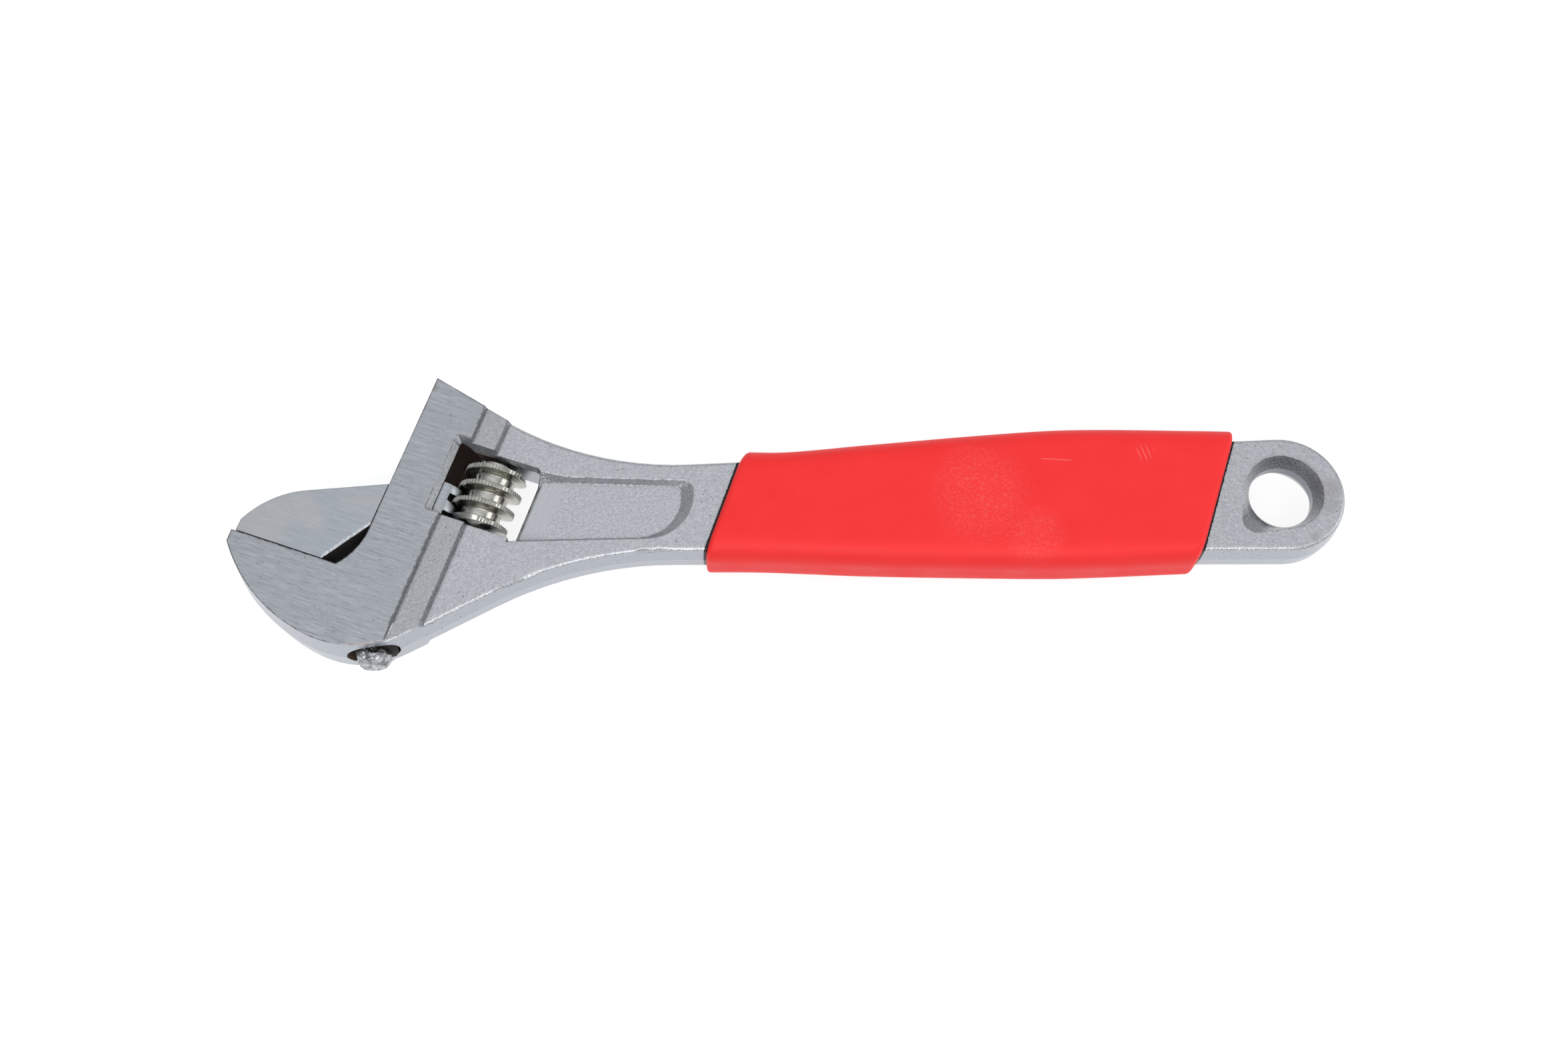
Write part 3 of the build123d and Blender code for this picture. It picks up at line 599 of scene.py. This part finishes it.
def knurl_piece(material):
    """The knurl's teeth as a plain mesh, set on the worm's axis."""
    tree, sizes = knurl_tree(material)
    holder = bpy.data.objects.new("knurl holder", bpy.data.meshes.new("knurl holder"))
    bpy.context.scene.collection.objects.link(holder)
    modifier = holder.modifiers.new("knurl", "NODES")
    modifier.node_group = tree
    first = (WORM_CHAMFER - THREAD_START) / THREAD_PITCH
    last = (WORM_LENGTH - WORM_CHAMFER - THREAD_START) / THREAD_PITCH
    for name, value in {
        "Teeth": floor((last - first) * KNURL_TEETH),
        "Step Turn": 2 * pi / KNURL_TEETH,
        "First Turn": 2 * pi * first,
        "Radius": (WORM_RADIUS - KNURL_BAR_RADIUS) * MM,
        "Rise": THREAD_PITCH / (2 * pi) * MM,
        "Bar Radius": KNURL_BAR_RADIUS * MM,
        "Bar Length": 2 * (RIDGE_HALF - 0.06) * MM,
    }.items():
        modifier[sizes[name]] = value
    shown = holder.evaluated_get(bpy.context.evaluated_depsgraph_get())
    mesh = bpy.data.meshes.new_from_object(shown)
    holder.modifiers.remove(modifier)
    bpy.data.objects.remove(holder)
    start = worm_spot(0, 0, THREAD_START)
    down = Vector((0, 0, -1))
    mesh.transform(Matrix((
        (BACK_WAY.x, down.x, OPEN_WAY.x, start.x),
        (BACK_WAY.y, down.y, OPEN_WAY.y, start.y),
        (BACK_WAY.z, down.z, OPEN_WAY.z, start.z),
        (0, 0, 0, 1),
    )))
    knurl = bpy.data.objects.new("worm_knurl", mesh)
    bpy.context.scene.collection.objects.link(knurl)
    return knurl


nickel = nickel_plate()
worm = new_piece("worm_thread", *worm_mesh(), nickel)
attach(worm, "worm")
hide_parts("adjusting_worm")
knurl = knurl_piece(nickel)
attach(knurl, "worm")

# Worm pin: a turned steel pin with a slotted head, pressed into the head from the crown, which the worm turns
# on. Only its head's end shows, in its bore.


def turned_steel():
    # Mild steel, turned and left bare, with faint rings round it. Its grey is painted dark, as painted shade,
    # for it sits in shadow in its bore.
    material, tree = new_material("turned steel")
    rings = mottle(tree, head_millimetres(tree), (0, 0.2, 0))
    colour = coats(tree, "#5b5b5d", (rings, 1.0, "#78787a"))
    surface(tree, Base_Color=colour, Metallic=1.0, Roughness=0.35)
    return material


dress("worm_pin", turned_steel())

# Worm spring: a coil of drawn spring wire on the pin, in the pocket of the worm's upper end, that takes up the
# worm's end play.


def spring_wire():
    # Spring steel, drawn and oil tempered: a dark grey wire, a little blotched. Its grey is painted darker
    # still, as painted shade, for it sits in shadow in the worm's pocket.
    material, tree = new_material("drawn spring wire")
    dull = mottle(tree, head_millimetres(tree), (0.8, 0.8, 0.8))
    colour = coats(tree, "#4a4948", (dull, 1.0, "#63625f"))
    surface(tree, Base_Color=colour, Metallic=1.0, Roughness=0.4)
    return material


dress("worm_spring", spring_wire())

# Rack end: the rough lump of flash left on the rack's lower end, where the bar was broken off after plating. It
# shows in the mouth of the rack's bore under the chin and moves with the jaw.
LUMP_BACK = 0.15
LUMP_OPENED = -15.1
LUMP_HALF = (3.95, 3.1, 3.9)
LUMP_ROUGH = 0.45


def lump_mesh():
    shape = bmesh.new()
    bmesh.ops.create_icosphere(shape, subdivisions=5, radius=1.0)
    points = []
    for vert in shape.verts:
        way = vert.co.normalized()
        bulge = noise.fractal(way * 1.6 + Vector((3.1, 0.4, 1.7)), 0.8, 2.0, 4) * LUMP_ROUGH
        spread = [way[axis] * (LUMP_HALF[axis] + bulge) for axis in range(3)]
        points.append(head_spot(LUMP_BACK + spread[0], LUMP_OPENED + spread[1], spread[2]))
    faces = [[vert.index for vert in face.verts] for face in shape.faces]
    shape.free()
    return points, faces


def flash_steel():
    # Forging flash, broken off and plated. To the eye it is crumpled bright metal.
    material, tree = new_material("rough plated flash")
    place = head_millimetres(tree)
    lumps = mottle(tree, place, (1.3, 1.3, 1.3), 2.0, 0.5)
    colour = coats(tree, "#8a8b8f", (where_all(tree, (lumps, 0.65, None, 0.3)), 1.0, "#c4c6c9"))
    skin = add(tree, "ShaderNodeBump", {"Height": lumps, "Distance": 0.3 * MM, "Strength": 1.0})
    skin = add(tree, "ShaderNodeBump", {
        "Height": cast_grain(tree, place), "Distance": 0.1 * MM, "Strength": 1.0, "Normal": skin,
    })
    surface(tree, Base_Color=colour, Metallic=1.0, Roughness=0.34, Normal=skin)
    return material


rack_end = new_piece("rack_end", *lump_mesh(), flash_steel())
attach(rack_end, "jaw")

# Window shade sheet: a thin dark web along the window's front edge at the under face, shaped as trimmed forging
# flash, that stands in for the shade seen through the window beside the worm. It lies clear under the rack and
# the worm and belongs to the forging.
SHADE_SHEET_SECTION = [(0.2, -5.0), (2.6, -5.0), (2.8, -5.3), (2.3, -6.0), (-0.5, -6.6)]
SHADE_SHEET_FREE_BACK = 2.0
SHADE_SHEET_RAGGED = 0.12
SHADE_SHEET_ENDS = (18.3, 36.5)
SHADE_SHEET_STEPS = 40


def shade_sheet_mesh():
    points = []
    for step in range(SHADE_SHEET_STEPS + 1):
        opened = SHADE_SHEET_ENDS[0] + (SHADE_SHEET_ENDS[1] - SHADE_SHEET_ENDS[0]) * step / SHADE_SHEET_STEPS
        for back, up in SHADE_SHEET_SECTION:
            if back > SHADE_SHEET_FREE_BACK:
                back += SHADE_SHEET_RAGGED * noise.noise(Vector((opened * 0.9, up, 4.2)))
            points.append(head_spot(back, opened, up))
    count = len(SHADE_SHEET_SECTION)
    faces = grid_faces(SHADE_SHEET_STEPS + 1, count, False, True)
    return points, faces + [tuple(range(count)), tuple(range(SHADE_SHEET_STEPS * count, (SHADE_SHEET_STEPS + 1) * count))]


def dark_shade_sheet():
    # Painted shade: dark brown, mottled, with a low sheen.
    material, tree = new_material("dark sheet of painted shade")
    shade_mottle = mottle(tree, head_millimetres(tree), (1.2, 2.0, 1.2), 3.0)
    colour = coats(tree, "#2a1d16", (where_all(tree, (shade_mottle, 0.65, None, 0.3)), 1.0, "#5a4436"))
    skin = add(tree, "ShaderNodeBump", {"Height": shade_mottle, "Distance": 0.15 * MM, "Strength": 1.0})
    surface(tree, Base_Color=colour, Metallic=0.6, Roughness=0.4, Normal=skin)
    return material


# A dark sheet, shaped as flash, standing in for the shade seen through the window beside the worm.
flash = new_piece("window_shade_sheet", *shade_sheet_mesh(), dark_shade_sheet())
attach(flash, "frame")

# Grip sleeve: a dipped and moulded red soft PVC sleeve, pushed warm over the handle's tang. Its ends are cut on
# the head's slant and stand a little off the steel.
GRIP_SLANT = tan(radians(20.4))
GRIP_HALF = 7.5
GRIP_EDGE = 5.0
GRIP_END_ROUND = 1.5
GRIP_CORNER = 1.4
GRIP_HIGH = [(-122, 13.2), (-112, 12.9), (-94, 14.2), (-63, 16.3), (-46, 16.9), (-18, 16.0), (-9, 15.6)]
GRIP_LOW = [(-131, -13.1), (-118, -13.5), (-95, -15.0), (-65, -16.3), (-50, -16.7), (-20, -16.2)]
HANDLE_HALF = 4.9
HANDLE_EDGE = 1.2
HANDLE_HIGH = [(-134, 10.5), (-10, 13.6)]
HANDLE_LOW = [(-137.6, -11.2), (-10, -13.9)]
MOUTH_RINGS = [(5.0, 0.05), (1.5, 0.75), (0.3, 0.75)]
GRIP_STATIONS = 80
ROUND_STEPS = 6
CORNER_STEPS = 8
SIDE_STEPS = 10
RUBBED_SHAPE = (1.0, 1.15, 1.4)
RUBBED_MIDDLE = (-69.0, 0.0, 5.3)
RUBBED_LOW = (-58.0, -10.0, 7.0)
SCRATCH_RUN = (-54.5, -48.5)
SCRATCH_LINE = (3.25, 3.4)
STROKES_SPOT = (-31.4, 9.2, 7.4)


def along_curve(points, x):
    """The height at x of a smooth curve through points."""
    last = len(points) - 1
    spans = [number for number in range(last) if points[number][0] <= x]
    number = spans[-1] if spans else 0
    (x0, y0), (x1, y1) = points[number], points[number + 1]
    before = points[max(number - 1, 0)]
    after = points[min(number + 2, last)]
    run = x1 - x0
    slope0 = (y1 - before[1]) / (x1 - before[0]) * run
    slope1 = (after[1] - y0) / (after[0] - x0) * run
    t = (x - x0) / run
    if t < 0 or t > 1:
        return y0 + (y1 - y0) * t
    return (
        y0 * (2 * t ** 3 - 3 * t ** 2 + 1) + slope0 * (t ** 3 - 2 * t ** 2 + t)
        + y1 * (3 * t ** 2 - 2 * t ** 3) + slope1 * (t ** 3 - t ** 2)
    )


def on_slant(points, station):
    """Where the slanted section through a station on the handle's axis meets a long edge."""
    y = 0.0
    for attempt in range(8):
        y = along_curve(points, station + y * GRIP_SLANT)
    return y


def slanted_ring(station, high, low, half, edge):
    """A slanted ring with rounded corners and straight sides, as points in metres."""
    corners = []
    for y, y_side, z_side, start in ((high, 1, 1, 90), (high, 1, -1, 0), (low, -1, -1, 270), (low, -1, 1, 180)):
        turns = [radians(start - 90 * step / CORNER_STEPS) for step in range(CORNER_STEPS + 1)]
        corners.append([
            (y - y_side * edge + edge * cos(turn), z_side * (half - edge) + edge * sin(turn)) for turn in turns
        ])
    ring = []
    for corner, following in zip(corners, corners[1:] + corners[:1]):
        (y0, z0), (y1, z1) = corner[-1], following[0]
        shares = [step / SIDE_STEPS for step in range(1, SIDE_STEPS)]
        ring += corner + [(y0 + (y1 - y0) * share, z0 + (z1 - z0) * share) for share in shares]
    return [Vector((station + y * GRIP_SLANT, y, z)) * MM for y, z in ring]


def outer_ring(station, inset):
    high = on_slant(GRIP_HIGH, station) - inset * GRIP_CORNER
    low = on_slant(GRIP_LOW, station) + inset * GRIP_CORNER
    return slanted_ring(station, high, low, GRIP_HALF - inset, max(GRIP_EDGE - inset, 0.5))


def mouth_ring(station, gap):
    high = on_slant(HANDLE_HIGH, station) + gap
    low = on_slant(HANDLE_LOW, station) - gap
    return slanted_ring(station, high, low, HANDLE_HALF + gap, HANDLE_EDGE + gap)


def grip_mesh():
    rounding = []
    for step in range(ROUND_STEPS + 1):
        turn = radians(90 * step / ROUND_STEPS)
        rounding.append((GRIP_END_ROUND * (1 - cos(turn)) * 0.9, GRIP_END_ROUND * (1 - sin(turn))))
    length = GRIP_BACK - GRIP_FRONT - 2 * GRIP_END_ROUND
    stations = [GRIP_FRONT + GRIP_END_ROUND + length * step / GRIP_STATIONS for step in range(1, GRIP_STATIONS)]
    rings = [mouth_ring(GRIP_FRONT + depth, gap) for depth, gap in MOUTH_RINGS]
    rings += [outer_ring(GRIP_FRONT + depth, inset) for depth, inset in rounding]
    rings += [outer_ring(station, 0.0) for station in stations]
    rings += [outer_ring(GRIP_BACK - depth, inset) for depth, inset in reversed(rounding)]
    rings += [mouth_ring(GRIP_BACK - depth, gap) for depth, gap in reversed(MOUTH_RINGS)]
    points = [point for ring in rings for point in ring]
    return points, grid_faces(len(rings), len(rings[0]), True, True)


def soft_pvc():
    # Plasticised PVC, moulded. To the eye it is an even bright red with a soft sheen and a fine peel, pale where
    # it has been rubbed and scratched, and painted a darker red along the lower side as painted shade.
    material, tree = new_material("moulded soft PVC")
    place = body_millimetres(tree)
    along, across, up = add(tree, "ShaderNodeSeparateXYZ", (place,)).outputs
    facing = add(tree, "ShaderNodeNewGeometry").outputs["Normal"]
    facing = add(tree, "ShaderNodeSeparateXYZ", (facing,)).outputs["Y"]
    tone = mottle(tree, place, (9.0, 7.0, 7.0), 3.0)
    peel = mottle(tree, place, (0.5, 0.5, 0.5))
    specks = mottle(tree, place, (0.7, 0.45, 0.7), 3.0, 0.7)
    specks = add(tree, "ShaderNodeMapRange", (specks, 0.45, 0.75, 0.1, 0.9), interpolation_type="SMOOTHSTEP")
    hairs = where_all(tree, (mottle(tree, place, (6.0, 0.3, 6.0)), 0.8, None, 0.08), 0.35)
    oval = add(tree, "ShaderNodeVectorMath", (place, RUBBED_SHAPE), operation="DIVIDE")
    rubbed = where_any(tree, near(tree, oval, RUBBED_MIDDLE, 14.0), near(tree, place, RUBBED_LOW, 9.0))
    drift = add(tree, "ShaderNodeMath", (along, 0.09, across), operation="MULTIPLY_ADD")
    scratch = where_all(tree, (drift, *SCRATCH_LINE, 0.06), (along, *SCRATCH_RUN, 0.6))
    slant = add(tree, "ShaderNodeMath", (across, 0.3, along), operation="MULTIPLY_ADD")
    strokes = add(tree, "ShaderNodeMath", (where_all(tree, slant, 0.85),), operation="FRACT")
    strokes = where_all(tree, (strokes, 0.45, 0.58, 0.08), near(tree, place, STROKES_SPOT, 2.6))
    marks = where_all(tree, where_any(tree, scratch, strokes), (up, 6.5, None, 1.5), 1.4)
    scuffs = where_any(tree, where_all(tree, rubbed, specks), hairs, marks)
    # Painted shade: faces turned to the lower side are painted a darker red.
    colour = coats(
        tree, "#f72a2a", (where_all(tree, (tone, 0.7, None, 0.4)), 1.0, "#fb2f2f"), (scuffs, 0.3, "#f58f8a"),
        (where_all(tree, (facing, None, -0.95, 0.6)), 0.45, "#cf2424"),
    )
    skin = add(tree, "ShaderNodeBump", {"Height": peel, "Distance": 0.05 * MM, "Strength": 1.0})
    rough = add(tree, "ShaderNodeMapRange", (tone, 0.3, 0.7, 0.46, 0.56), interpolation_type="SMOOTHSTEP")
    surface(tree, Base_Color=colour, Roughness=rough, Normal=skin, Specular_IOR_Level=0.3)
    return material


grip = new_piece("grip", *grip_mesh(), soft_pvc())
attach(grip, "frame")
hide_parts("grip_sleeve")

# Floor, light and camera: a white light table under soft studio light, with the camera where the photograph
# was taken from.
FLOOR_HALF = 10.0
CAMERA_PLACE = Vector((-124.8, -154.7, 378.7)) * MM
CAMERA_TARGET = Vector((-112.9, -2.8, 0)) * MM
CAMERA_UP = Vector((0.0321, 0.9995, 0))
SENSOR_WIDTH = 36
IMAGE_WIDTH = 2352
FOCAL_PIXELS = 2717.6


def white_table():
    # Opal acrylic, lit from below. To the eye it is an even white with only a trace of shadow.
    material, tree = new_material("white light table")
    surface(
        tree, Base_Color=linear("#8c8c8c"), Roughness=0.8, Emission_Color=(1, 1, 1, 1), Emission_Strength=0.82,
    )
    return material


def soft_box(name, place, target, width, height, watts):
    light = bpy.data.lights.new(name, "AREA")
    light.shape = "RECTANGLE"
    light.size = width
    light.size_y = height
    light.energy = watts
    lamp = bpy.data.objects.new(name, light)
    lamp.location = place
    lamp.rotation_euler = (Vector(target) - Vector(place)).to_track_quat("-Z", "Y").to_euler()
    bpy.context.scene.collection.objects.link(lamp)


floor_corners = [
    (x * FLOOR_HALF, y * FLOOR_HALF, solid_bounds[0].z) for x, y in ((-1, -1), (1, -1), (1, 1), (-1, 1))
]
table = new_piece("table", floor_corners, [(0, 1, 2, 3)], white_table())

world = bpy.data.worlds.new("studio")
world.use_nodes = True
sky = world.node_tree
sky.nodes.clear()
way = add(sky, "ShaderNodeTexCoord").outputs["Generated"]
way = add(sky, "ShaderNodeSeparateXYZ", (way,)).outputs
overhead = add(sky, "ShaderNodeMapRange", (way["Z"], 0.5, 1.08, 0.34, 1.25), interpolation_type="SMOOTHSTEP")
rear = add(sky, "ShaderNodeMapRange", (way["Y"], 0.3, 0.95, 0.0, 0.3), interpolation_type="SMOOTHSTEP")
glow = add(sky, "ShaderNodeMath", (overhead, rear), operation="ADD")
background = add(sky, "ShaderNodeBackground", {"Color": linear("#f4f6fa"), "Strength": glow})
add(sky, "ShaderNodeOutputWorld", (background,))
bpy.context.scene.world = world
soft_box("front", (-0.15, -0.7, 0.75), CAMERA_TARGET, 1.0, 0.6, 4.6)
soft_box("right side", (0.85, 0.0, 0.5), CAMERA_TARGET, 0.6, 0.5, 2.0)

camera = bpy.data.cameras.new("camera")
camera.sensor_width = SENSOR_WIDTH
camera.lens = SENSOR_WIDTH * FOCAL_PIXELS / IMAGE_WIDTH
viewpoint = bpy.data.objects.new("camera", camera)
away = (CAMERA_PLACE - CAMERA_TARGET).normalized()
right = CAMERA_UP.cross(away).normalized()
upright = away.cross(right)
viewpoint.matrix_world = Matrix.Translation(CAMERA_PLACE) @ Matrix((right, upright, away)).transposed().to_4x4()
bpy.context.scene.collection.objects.link(viewpoint)
bpy.context.scene.camera = viewpoint
bpy.context.scene.view_settings.view_transform = "Standard"
